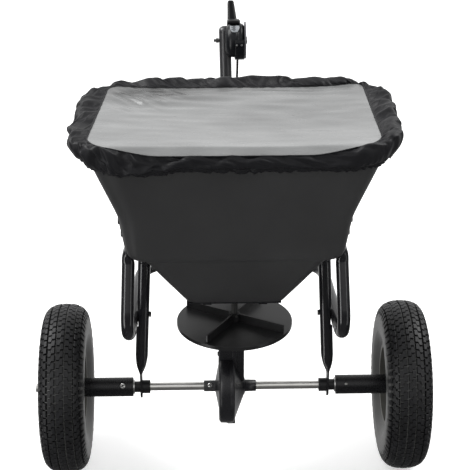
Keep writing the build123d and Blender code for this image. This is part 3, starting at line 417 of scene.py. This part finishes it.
def rounded_ring(half_x, half_y, near, far, count):
    """count points (x, y, outward x, outward y, share round) evenly along a rounded rectangle, in mm."""
    legs = [(2 * (half_x - near), (-half_x + near, -half_y), (1, 0), 0),
            (math.pi * near / 2, (half_x - near, -half_y + near), -90, near),
            (2 * half_y - near - far, (half_x, -half_y + near), (0, 1), 0),
            (math.pi * far / 2, (half_x - far, half_y - far), 0, far),
            (2 * (half_x - far), (half_x - far, half_y), (-1, 0), 0),
            (math.pi * far / 2, (-half_x + far, half_y - far), 90, far),
            (2 * half_y - near - far, (-half_x, half_y - far), (0, -1), 0),
            (math.pi * near / 2, (-half_x + near, -half_y + near), 180, near)]
    total = sum(leg[0] for leg in legs)
    points = []
    for i in range(count):
        d = total * i / count
        for length, at, way, corner in legs:
            if d <= length:
                break
            d -= length
        if isinstance(way, tuple):
            x, y = at[0] + way[0] * d, at[1] + way[1] * d
            nx, ny = way[1], -way[0]
        else:
            a = math.radians(way) + d / corner
            nx, ny = math.cos(a), math.sin(a)
            x, y = at[0] + corner * nx, at[1] + corner * ny
        points.append((x, y, nx, ny, i / count))
    return points


def wrinkle(share, across, seed):
    """Three signed heights round the cover: broad soft puffs, folds, and fine gathers for the hem."""
    a = 2 * math.pi * share
    circle = Vector((math.cos(a), math.sin(a), 0))
    puffs = noise.noise(circle * 6.5 + Vector((0, 0, seed + across * 0.6)))
    folds = noise.noise(circle * 17.0 + Vector((0, 0, seed + 9 + across * 1.3)))
    gathers = noise.noise(circle * 46.0 + Vector((0, 0, seed + 21 + across)))
    return puffs, folds, gathers


RING = 440
# outlines from the window's seam to the hem: half x, half y, near corner, far corner, z, then how far the
# near side is pulled outward and down between its corners
SECTIONS = [
    (248.0, 153.0, 34.0, 28.0, TOP_Z - 2.0, 23.0, 14.0), (263.0, 165.0, 58.0, 60.0, TOP_Z + 1.0, 16.0, 22.0),
    (276.0, 176.0, 78.0, 90.0, TOP_Z + 2.5, 9.0, 28.0),
    (HALF_X - 5.0, HALF_Y - 4.0, 90.0, 108.0, TOP_Z - 3.0, 3.0, 27.0),
    (HALF_X - 1.5, HALF_Y - 1.0, 98.0, 115.0, TOP_Z - 14.0, 1.0, 20.0),
    (HALF_X - 3.0, HALF_Y, 102.0, 116.0, TOP_Z - 26.0, 0.0, 12.0),
    (HALF_X - 8.0, HALF_Y - 2.0, 104.0, 114.0, HEM_Z + 11.0, 0.0, 4.0),
    (HALF_X - 15.0, HALF_Y - 8.0, 100.0, 108.0, HEM_Z + 3.0, 0.0, 0.0),
    (HALF_X - 27.0, HALF_Y - 20.0, 92.0, 96.0, HEM_Z + 3.0, 0.0, 0.0)]


def cover_rings():
    """The cover's outlines as points (x, y, z, drop); drop is how far z was pulled down over the rim."""
    rings = []
    for half_x, half_y, near, far, z, pull, drop in SECTIONS:
        ring = []
        top = pull / 23.0
        for x, y, *_ in rounded_ring(half_x, half_y, near, far, RING):
            middle = (1 - min(1.0, abs(x) / half_x) ** 5) ** 0.9
            near_side = max(0.0, -y / half_y) ** 6
            front = near_side * middle
            level = min(1.0, max(0.0, (0.92 - abs(x) / half_x) / 0.42))
            fall = near_side * level * level * (3 - 2 * level)
            back = max(0.0, y / half_y) ** 4 * top
            taper = 1 - (0.012 + 0.018 * top) * (y / half_y)
            away = -9.0 * middle + (1 - middle) * (11.0 + 0.02 * x)
            ring.append((x * taper + 5.0 * top * (y / half_y) + 1.5, y - front * pull + back * away,
                         z - fall * drop + back * (1 - middle) * 3.0, fall * drop))
        rings.append(ring)
    return rings


def cover_fabric():
    steps = 28
    bm = bmesh.new()
    rows = []
    rings = cover_rings()
    outward = rounded_ring(HALF_X, HALF_Y, 90.0, 112.0, RING)
    for k in range(steps + 1):
        t = k / steps
        row = []
        for i in range(RING):
            x, y, z, _ = interpolate([ring[i] for ring in rings], t)
            _, _, nx, ny, share = outward[i]
            puffs, folds, gathers = wrinkle(share, t * 3.0, 1.7)
            loose = math.sin(math.pi * t) ** 0.7
            low = max(0.0, (t - 0.45) / 0.55)
            side = abs(nx)
            out = loose * (3.6 * puffs + (1.6 + 2.8 * side) * folds) + low * (1.0 - 0.4 * t) * 5.0 * gathers
            far = max(0.0, ny)
            lift = (1 - low) * loose * (1.8 * folds + (3.0 + 4.5 * far) * puffs + 1.0 + 2.0 * far)
            row.append(bm.verts.new(((x + nx * out) * MM, MID_Y + (y + ny * out) * MM, (z + lift) * MM)))
        rows.append(row)
    grid_faces(bm, rows)
    obj = from_bmesh(bm, "cover_fabric", MATS["cover_fabric"], "cover")
    pinned = [i for i in range(RING)] + [steps * RING + i for i in range(RING)]
    return obj, pinned


def ring_tube(name, points, radius, sides, mat, ripple=0.0, flat=1.0):
    """A closed tube round a ring of points in mm, rippled like gathered elastic."""
    bm = bmesh.new()
    rows = []
    count = len(points)
    for i in range(count):
        here = Vector(points[i])
        way = (Vector(points[(i + 1) % count]) - Vector(points[i - 1])).normalized()
        side = way.cross(Vector((0, 0, 1))).normalized()
        up = side.cross(way)
        row = []
        for j in range(sides):
            a = 2 * math.pi * j / sides
            wobble = 1 + ripple * noise.noise(Vector((i * 0.9, math.cos(a), math.sin(a) + 4)))
            spot = here + (side * math.cos(a) + up * math.sin(a) * flat) * radius * wobble
            row.append(bm.verts.new((spot.x * MM, MID_Y + spot.y * MM, spot.z * MM)))
        rows.append(row)
    grid_faces(bm, rows + [rows[0]])
    return from_bmesh(bm, name, mat, "cover")


def run_cloth(obj, pinned, frames, shrink, stiffness, bending, cap):
    """Lets the cloth settle, then keeps each point within cap mm of where it started."""
    start = [v.co.copy() for v in obj.data.vertices]
    group = obj.vertex_groups.new(name="pin")
    group.add(pinned, 1.0, "REPLACE")
    cloth = obj.modifiers.new("cloth", "CLOTH")
    settings = cloth.settings
    settings.quality = 6
    settings.mass = 0.25
    settings.tension_stiffness = stiffness
    settings.compression_stiffness = stiffness
    settings.shear_stiffness = stiffness * 0.5
    settings.bending_stiffness = bending
    settings.vertex_group_mass = "pin"
    settings.shrink_min = shrink
    settings.effector_weights.gravity = 0.0
    cloth.point_cache.frame_end = frames
    scene.frame_end = frames
    for number in range(1, frames + 1):
        scene.frame_set(number)
    graph = bpy.context.evaluated_depsgraph_get()
    settled = obj.evaluated_get(graph)
    moved = [v.co.copy() for v in settled.data.vertices]
    obj.modifiers.remove(cloth)
    for vertex, a, b in zip(obj.data.vertices, start, moved):
        shift = b - a
        if shift.length > cap * MM:
            shift = shift.normalized() * cap * MM
        vertex.co = a + shift
    scene.frame_set(1)


def subdivide(obj, levels=1):
    modifier = obj.modifiers.new("smooth", "SUBSURF")
    modifier.levels = levels
    modifier.render_levels = levels


fabric, fabric_pins = cover_fabric()
run_cloth(fabric, fabric_pins, 20, -0.09, 12.0, 0.4, cap=7.0)
subdivide(fabric)
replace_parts(fabric, "rain_cover")
# the seam and the hem follow settled rows of the fabric's points
SEAM_ROW, HEM_ROW = 0, 26
seam_line, hem_line = ([v.co / MM for v in fabric.data.vertices[k * RING:(k + 1) * RING]]
                       for k in (SEAM_ROW, HEM_ROW))
hem_points = [(v.x, v.y - MID_Y / MM, v.z - 1.0) for v in hem_line]
hem = ring_tube("cover_hem", hem_points, 3.6, 8, MATS["cover_fabric"], ripple=0.9, flat=1.5)
seam_points = [(v.x, v.y - MID_Y / MM, v.z + 0.5) for v in seam_line]
seam = ring_tube("cover_seam", seam_points, 1.7, 6, MATS["cover_fabric"], ripple=0.5,
                 flat=0.4)


def cover_window():
    """The clear sheet inside the seam: rings of points shrinking to a middle line, creased and sagging, with
    painted shade and highlight in its "shade" colours.
    """
    outer = cover_rings()[0]
    bm = bmesh.new()
    layer = bm.verts.layers.float_color.new("shade")
    rows = []
    steps = 48
    painted_shades = []
    for k in range(steps + 1):
        t = 1 - (k / steps) ** 1.15
        row = []
        for x, y, z, drop in outer:
            px, py = x * (0.42 + 0.58 * t), y * t
            over = min(1.0, max(0.0, (t - 0.94) / 0.06))
            pz = (z + drop) * t + (TOP_Z - 7.0) * (1 - t) - drop * over * over + min(drop, 1.0) * t ** 8
            pucker = noise.noise(Vector((px / 9.0, py / 9.0, 5.0))) * max(0.0, 1 - (1 - t) / 0.08)
            loose = 1 - t ** 5
            broad = noise.noise(Vector((px / 150.0, py / 80.0, 0.4)))
            streak = noise.noise(Vector((px / 110.0 + py / 60.0, py / 22.0, 2.4)))
            far = max(0.0, py / 150.0)
            corner = max(0.0, 1 - math.dist((px, py), (-190.0, 125.0)) / 120.0)
            crease = noise.noise(Vector(((px + py) / 18.0, (px - py) / 90.0, 7.0)))
            pz += loose * (4.0 * broad + (1.0 + 2.6 * far) * streak + 8.0 * corner * crease) + 0.9 * pucker
            row.append(bm.verts.new((px * MM, MID_Y + py * MM, pz * MM)))
            # painted shade and highlight on the sheet: a dark streaky patch at the far left, darker towards
            # the far edge, paler towards the front and where the edge rolls over the rim
            painted_shade_patch = max(0.0, 1 - math.dist((px / 2.0, py), (-72.0, 122.0)) / 88.0)
            painted_shade_streaks = noise.noise(Vector((px / 55.0 + py / 90.0, py / 16.0, 9.0)))
            painted_shades.append(1.0 - 0.85 * painted_shade_patch * (0.7 + 0.9 * painted_shade_streaks) - 0.28 * far ** 2 + 0.14 * painted_shade_streaks
                          + 0.14 * max(0.0, -py / 150.0) + 0.12 * over * min(1.0, drop / 10.0))
        rows.append(row)
    for vertex, value in zip((v for row in rows for v in row), painted_shades):
        vertex[layer] = (value, value, value, 1)
    grid_faces(bm, rows)
    bmesh.ops.remove_doubles(bm, verts=bm.verts, dist=2e-4)
    return from_bmesh(bm, "window_sheet", MATS["clear_vinyl"], "cover")


window = cover_window()
subdivide(window)
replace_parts(window, "cover_window")


# ---- hopper ----
funnel_low, funnel_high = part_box("hopper")


def hopper_shell():
    """One moulded shell: outlet, funnel, rounded ledge, flared walls and rolled rim.

    The rows are rounded rectangles (half x, half y, corner radius, z) in mm, up the outside and down the
    inside.
    """
    rim_z, low_z = funnel_high.z / MM - 2.0, funnel_low.z / MM
    outside = [(90.0, 58.0, 19.0, low_z), (92.0, 60.0, 20.0, low_z + 1.0), (94.0, 61.6, 20.0, low_z + 4.0),
               (130.0, 91.0, 23.0, 435.0), (163.0, 118.0, 26.0, 486.0), (168.0, 121.5, 27.0, 492.0),
               (175.0, 122.5, 26.0, 493.5), (185.0, 123.5, 24.0, 494.5), (192.0, 126.5, 25.0, 498.0),
               (196.5, 129.8, 28.0, 506.0), (198.0, 131.0, 29.0, 515.0), (203.0, 134.5, 35.0, 545.0),
               (208.0, 138.0, 40.0, 570.0), (213.0, 140.5, 43.0, 584.0), (240.0, 151.3, 52.0, 645.0),
               (268.0, 162.5, 60.0, 712.0), (272.0, 164.2, 62.0, 721.0), (276.8, 167.8, 65.0, 722.5),
               (276.8, 167.8, 65.0, rim_z - 0.5), (275.0, 166.0, 63.0, rim_z),
               (272.5, 163.5, 61.0, rim_z - 0.3)]
    inside = [(271.0, 162.0, 59.0, rim_z - 4.0), (237.0, 148.3, 49.0, 645.0), (208.5, 137.0, 40.0, 581.0),
              (200.0, 131.5, 32.0, 545.0), (193.5, 127.0, 25.0, 506.0), (188.0, 122.0, 21.0, 499.0),
              (166.0, 119.0, 23.0, 496.0), (95.0, 63.0, 17.0, low_z + 6.0), (90.0, 59.0, 16.0, low_z + 3.0)]
    count = 176
    bm = bmesh.new()
    rows = []
    for half_x, half_y, corner, z in outside + inside:
        ring = rounded_ring(half_x, half_y, corner, corner, count)
        rows.append([bm.verts.new((x * MM, AXLE_Y + y * MM, z * MM)) for x, y, *_ in ring])
    grid_faces(bm, rows)
    bm.faces.new(rows[0])
    bm.faces.new(rows[-1])
    obj = from_bmesh(bm, "hopper_shell", MATS["hopper_plastic"], "frame")
    subdivide(obj)
    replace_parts(obj, "hopper")


def beveled_box(name, x, y, z, mat, body, width):
    """A box from (low, high) pairs in mm, its edges rounded by width."""
    bm = bmesh.new()
    corners = [[bm.verts.new((x[i] * MM, y[j] * MM, z[k] * MM)) for j, i in ((0, 0), (0, 1), (1, 1), (1, 0))]
               for k in (0, 1)]
    grid_faces(bm, corners)
    bm.faces.new(corners[0])
    bm.faces.new(corners[1])
    bmesh.ops.bevel(bm, geom=bm.edges[:], offset=width * MM, segments=3, profile=0.5, affect="EDGES")
    return from_bmesh(bm, name, mat, body)


AXLE_Y = box_centre("axle").y
AXLE_Z = box_centre("axle").z
hopper_shell()
for side, word in ((-1, "left"), (1, "right")):
    for label, out, z in (("upper", 163.5, (463, 494)), ("lower", 156, (426, 467))):
        x = sorted((side * out, side * 120))
        beveled_box(f"hopper_foot_{word}_{label}", x, (AXLE_Y / MM - 17, AXLE_Y / MM + 17), z,
                    MATS["hopper_plastic"], "frame", 3.0)


# ---- gearbox ----
def revolve(name, profile, centre, mat, body, turns=72):
    """Closed surface of revolution from (along, radius) in mm round the X axis through centre."""
    bm = bmesh.new()
    rows = []
    for along, radius in profile:
        row = []
        for i in range(turns):
            a = 2 * math.pi * i / turns
            offset = Vector((along, radius * math.cos(a), radius * math.sin(a)))
            row.append(bm.verts.new(centre + offset * MM))
        rows.append(row)
    grid_faces(bm, rows)
    bm.faces.new(rows[0])
    bm.faces.new(rows[-1])
    return from_bmesh(bm, name, mat, body)


def gearbox_shell():
    mat = MATS["gearbox_plastic"]
    low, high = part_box("gearbox_left_half")
    left = low.x / MM
    radius = (high.y - low.y) / 2 / MM
    centre = Vector((0, AXLE_Y, AXLE_Z))
    drum = revolve("gearbox_drum", [
        (left - 6, 11.3), (left - 6.5, 13), (left - 6, 15), (left - 1, 40), (left + 0.2, 46),
        (left, radius - 6), (left + 1.2, radius - 3), (left + 4, radius), (-12, radius + 0.6),
        (-8.5, radius + 0.6), (-8, radius), (-4, radius), (-1.2, radius - 3), (0, radius - 7), (1.5, 60),
        (18, 18), (20, 15.5), (20.4, 12.0), (41, 11.2), (42, 10.6), (42, 8.2)],
        centre, mat, "frame")
    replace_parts(drum, "gearbox_left_half", "gearbox_right_half")
    y, z = AXLE_Y / MM, AXLE_Z / MM
    beveled_box("gearbox_neck", (left, 18.3), (y - 21, y + 21), (z + 20, 299), mat, "frame",
                3.0)
    beveled_box("gearbox_rib", (-4.5, 3.5), (y - 23.5, y + 23.5), (z + 40, 297), mat, "frame",
                1.5)
    beveled_box("gearbox_flange", (left - 1, 19.2), (y - 23, y + 23), (289, 298.6), mat, "frame",
                1.2)
    beveled_box("gearbox_lug", (-15, 1.5), (y - 10, y + 10), (z - 82, z - 62), mat, "frame",
                2.0)


gearbox_shell()


# ---- screw heads ----
def pan_head(name, centre, way, radius, height, body):
    """Domed head with a black cross block on top, painted shade standing in for a cross recess, facing along
    way.
    """
    turns = 32
    # share of the height, share of the radius
    profile = [(0.0, 1.0), (0.35, 1.0), (0.7, 0.93), (0.92, 0.72), (1.0, 0.42)]
    bm = bmesh.new()
    rows = []
    for h, r in profile:
        rows.append([bm.verts.new((radius * r * math.cos(2 * math.pi * i / turns),
                                   radius * r * math.sin(2 * math.pi * i / turns), height * h))
                     for i in range(turns)])
    grid_faces(bm, rows)
    bm.faces.new(rows[-1])
    bm.faces.new(rows[0])
    # the cross: a flat block raised on the dome in black plastic, painted shade for the recess
    for turn in (math.radians(20), math.radians(110)):
        corners = []
        for z in (height * 1.02, height * 0.85):
            ring = []
            for a, b in ((-1, -1), (1, -1), (1, 1), (-1, 1)):
                x, y = a * 0.66 * radius, b * 0.17 * radius
                ring.append(bm.verts.new((x * math.cos(turn) - y * math.sin(turn),
                                          x * math.sin(turn) + y * math.cos(turn), z)))
            corners.append(ring)
        for face in grid_faces(bm, corners):
            face.material_index = 1
        bm.faces.new(corners[0]).material_index = 1
    turn = Vector(way).to_track_quat("Z", "Y").to_matrix()
    for vertex in bm.verts:
        vertex.co = Vector(centre) + turn @ (vertex.co * MM)
    obj = from_bmesh(bm, name, MATS["zinc_steel"], body, flat=True)
    # second slot: black plastic for the cross, painted shade
    obj.data.materials.append(MATS["black_plastic"])
    return obj


# both screws point back and up; start is the head's distance from the axle's middle line in metres
TILT = math.radians(55)
OUT = Vector((0, -math.sin(TILT), math.cos(TILT)))
for screw, start, size in (("left_drive_bolt", 0.0187, 5.5), ("gear_screw", 0.0110, 4.8)):
    spot = Vector((box_centre(screw).x, AXLE_Y, AXLE_Z)) + OUT * start
    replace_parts(pan_head(f"{screw}_head", spot, OUT, size, 0.75 * size, "axle"), screw)


# ---- flow control head ----
HEAD = box_centre("lever_pivot_pin")
HEAD.x = 0.0
SCALE_X = 12.0


def head_point(x, radius, lean):
    """Point at a lean measured forward from upright, in mm round the lever's pivot."""
    a = math.radians(lean)
    return HEAD + Vector((x, radius * math.sin(a), radius * math.cos(a))) * MM


def head_drum():
    body = revolve("head_body", [
        (-7.5, 17), (-7.3, 22), (-5, 28), (0, 33), (6, 35.6), (12, 36.2), (16, 36.2), (16.5, 35), (18, 35),
        (18.5, 36.2), (25, 36), (29, 34.5), (32.5, 30), (32.8, 20)], HEAD, MATS["head_plastic"], "frame")
    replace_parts(body, "control_housing", "control_cover")


def head_nose():
    """Lower nose that the cable comes out of, with its two screws."""
    bm = bmesh.new()
    y0, z0 = HEAD.y / MM, HEAD.z / MM
    outline = [(-36, 10), (-38.5, 4), (-37, -22), (-28, -33), (-8, -41), (19, -48), (37, -48), (37, -10),
               (0, 18)]
    sides = [[bm.verts.new((x * MM, (y0 + y) * MM, (z0 + z) * MM)) for y, z in outline] for x in (12.5, 32.6)]
    grid_faces(bm, sides)
    bm.faces.new(sides[0])
    bm.faces.new(sides[1])
    bmesh.ops.bevel(bm, geom=bm.edges[:], offset=2.2 * MM, segments=3, profile=0.5, affect="EDGES")
    from_bmesh(bm, "head_nose", MATS["head_plastic"], "frame")
    for x in (16.5, 26.5):
        pan_head(f"head_screw_{int(x)}", HEAD + Vector((x, -38.2, 0.0)) * MM, (0, -1, 0.1), 1.9, 1.2, "frame")


def scale_plate():
    """A shield on the drum's arc, narrower towards its lower end."""
    bm = bmesh.new()
    rows = []
    steps = 14
    for k in range(steps + 1):
        lean = -17.0 - 29.0 * k / steps
        narrow = 1.0 - 0.45 * max(0.0, (k / steps - 0.35) / 0.65) ** 1.6
        rows.append([bm.verts.new(head_point(SCALE_X + 10.2 * narrow * (i / 6 - 1), 37.0, lean))
                     for i in range(13)])
    grid_faces(bm, rows, close_u=False)
    plate = from_bmesh(bm, "scale_plate", MATS["scale_plastic"], "frame")
    solid = plate.modifiers.new("thick", "SOLIDIFY")
    solid.thickness = 0.5 * MM
    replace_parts(plate, "control_scale")


def scale_ticks():
    for k in range(6):
        bm = bmesh.new()
        lean = -19.5 - 4.0 * k
        reach = (7.0, 3.5)[k % 2]
        corners = ((-reach, -0.55), (reach * 0.3, -0.55), (reach * 0.3, 0.55), (-reach, 0.55))
        loops = [[bm.verts.new(head_point(SCALE_X + dx, radius, lean + turn)) for dx, turn in corners]
                 for radius in (37.1, 37.6)]
        grid_faces(bm, loops)
        bm.faces.new(loops[1])
        from_bmesh(bm, f"scale_tick_{k}", MATS["head_plastic"], "frame")


def lever_hood():
    """Hood round the lever's root, clear of the scale as the lever swings."""
    bm = bmesh.new()
    rows = []
    for lean in (-14, -12, -4, 8, 22, 36, 50, 60, 62):
        ends = lean in (-14, 62)
        lift = 0.0 if ends else 5.5 + 5.0 * max(0.0, 1 - abs(lean - 44) / 30.0)
        half = 13.0 if ends else 14.0
        ring = []
        for dx, r in ((-half, 38.6), (-half, 38.8 + lift * 0.7), (-half + 3, 39 + lift), (0, 39.4 + lift),
                      (half - 3, 39 + lift), (half, 38.8 + lift * 0.7), (half, 38.6), (0, 38.4)):
            ring.append(bm.verts.new(head_point(10.3 + dx, r, lean)))
        rows.append(ring)
    grid_faces(bm, rows)
    bm.faces.new(rows[0])
    bm.faces.new(rows[-1])
    hood = from_bmesh(bm, "lever_hood", MATS["black_plastic"], "lever")
    subdivide(hood, 2)


def lever_grip():
    """Tapered grip: rounded squares (distance out, half x, half y, middle x) along the lever."""
    bm = bmesh.new()
    rows = []
    lean = math.radians(54)
    along = Vector((0, math.sin(lean), math.cos(lean)))
    across = Vector((0, -math.cos(lean), math.sin(lean)))
    for r, half_x, half_y, mid in ((40, 10.2, 8.5, 8.4), (44, 10.6, 8.8, 8.4), (50, 10.4, 8.6, 8.2),
                                   (70, 9.0, 7.6, 7.3), (90, 7.8, 6.8, 6.3), (101, 7.2, 6.3, 5.8),
                                   (104.4, 6.2, 5.4, 5.7), (105.0, 3.5, 3.2, 5.7)):
        ring = []
        for i in range(24):
            a = 2 * math.pi * i / 24
            c, d = math.cos(a), math.sin(a)
            k = (abs(c) ** 3.2 + abs(d) ** 3.2) ** (-1 / 3.2)
            ring.append(bm.verts.new(HEAD + (Vector((mid + half_x * k * c, 0, 0)) + along * r
                                             + across * half_y * k * d) * MM))
        rows.append(ring)
    grid_faces(bm, rows)
    bm.faces.new(rows[0])
    bm.faces.new(rows[-1])
    grip = from_bmesh(bm, "grip_moulding", MATS["black_plastic"], "lever")
    subdivide(grip)
    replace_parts(grip, "lever_grip")


head_drum()
head_nose()
scale_plate()
scale_ticks()
lever_hood()
lever_grip()


# ---- camera, floor and light ----
def camera():
    data = bpy.data.cameras.new("camera")
    obj = bpy.data.objects.new("camera", data)
    scene.collection.objects.link(obj)
    data.sensor_width = 36.0
    data.lens = 107.23
    data.shift_x = 0.0011
    data.clip_end = 50.0
    obj.location = (-0.0564, -2.7326, 1.5770)
    obj.rotation_euler = (math.radians(90 - 24.6), 0, math.radians(-1.36))
    scene.camera = obj


def floor():
    size = 8.0
    mesh = bpy.data.meshes.new("floor")
    z = cad_box[0].z - 0.0005
    corners = [(-size, -size, z), (size, -size, z), (size, size, z), (-size, size, z)]
    mesh.from_pydata(corners, [], [(0, 1, 2, 3)])
    obj = bpy.data.objects.new("floor", mesh)
    scene.collection.objects.link(obj)
    mat = material("floor_white", (0.95, 0.95, 0.95), 0.9, vary=0.01, grain=0.0)
    socket(mat.node_tree.nodes["Principled BSDF"], "Emission Color", (1, 1, 1, 1))
    socket(mat.node_tree.nodes["Principled BSDF"], "Emission Strength", 0.4)
    mesh.materials.append(mat)
    obj.visible_glossy = False


def area_light(name, at, aim, size, power, size_y=None):
    data = bpy.data.lights.new(name, "AREA")
    data.energy = power
    data.shape = "RECTANGLE"
    data.size = size
    data.size_y = size_y or size
    obj = bpy.data.objects.new(name, data)
    scene.collection.objects.link(obj)
    obj.location = at
    obj.rotation_euler = (Vector(aim) - Vector(at)).to_track_quat("-Z", "Y").to_euler()
    obj.visible_camera = False


def studio_world():
    """White overhead and behind the object, dim towards the front and below, as on a lit studio sweep."""
    world = bpy.data.worlds.new("studio")
    scene.world = world
    world.use_nodes = True
    tree = world.node_tree
    background = tree.nodes["Background"]
    place = tree.nodes.new("ShaderNodeTexCoord")
    split = tree.nodes.new("ShaderNodeSeparateXYZ")
    ramp = tree.nodes.new("ShaderNodeValToRGB")
    stops = [(0.0, 0.10), (0.12, 0.30), (0.40, 0.80), (0.70, 0.90), (0.97, 0.40)]
    while len(ramp.color_ramp.elements) < len(stops):
        ramp.color_ramp.elements.new(0.5)
    for element, (at, value) in zip(ramp.color_ramp.elements, stops):
        element.position = at
        element.color = (value, value, value, 1)
    tree.links.new(place.outputs["Generated"], split.inputs["Vector"])
    tree.links.new(split.outputs["Z"], ramp.inputs["Fac"])
    behind = tree.nodes.new("ShaderNodeMapRange")
    behind.inputs["From Min"].default_value = 0.45
    behind.inputs["From Max"].default_value = 0.95
    behind.inputs["To Min"].default_value = 0.10
    behind.inputs["To Max"].default_value = 0.95
    brighter = tree.nodes.new("ShaderNodeMath")
    brighter.operation = "MAXIMUM"
    tree.links.new(split.outputs["Y"], behind.inputs["Value"])
    tree.links.new(ramp.outputs["Color"], brighter.inputs[0])
    tree.links.new(behind.outputs["Result"], brighter.inputs[1])
    tree.links.new(brighter.outputs[0], background.inputs["Strength"])
    background.inputs["Color"].default_value = (1, 1, 1, 1)


camera()
floor()
studio_world()
area_light("left_box", (-1.9, 0.5, 2.5), (0, 0.0, 0.4), 1.6, 62)
area_light("right_box", (1.9, 0.5, 2.5), (0, 0.0, 0.4), 1.6, 52)
area_light("left_strip", (-2.1, -1.8, 0.1), (0, -0.1, 0.4), 0.6, 34, 3.2)
area_light("right_strip", (2.1, -1.8, 0.1), (0, -0.1, 0.4), 0.3, 9, 3.2)
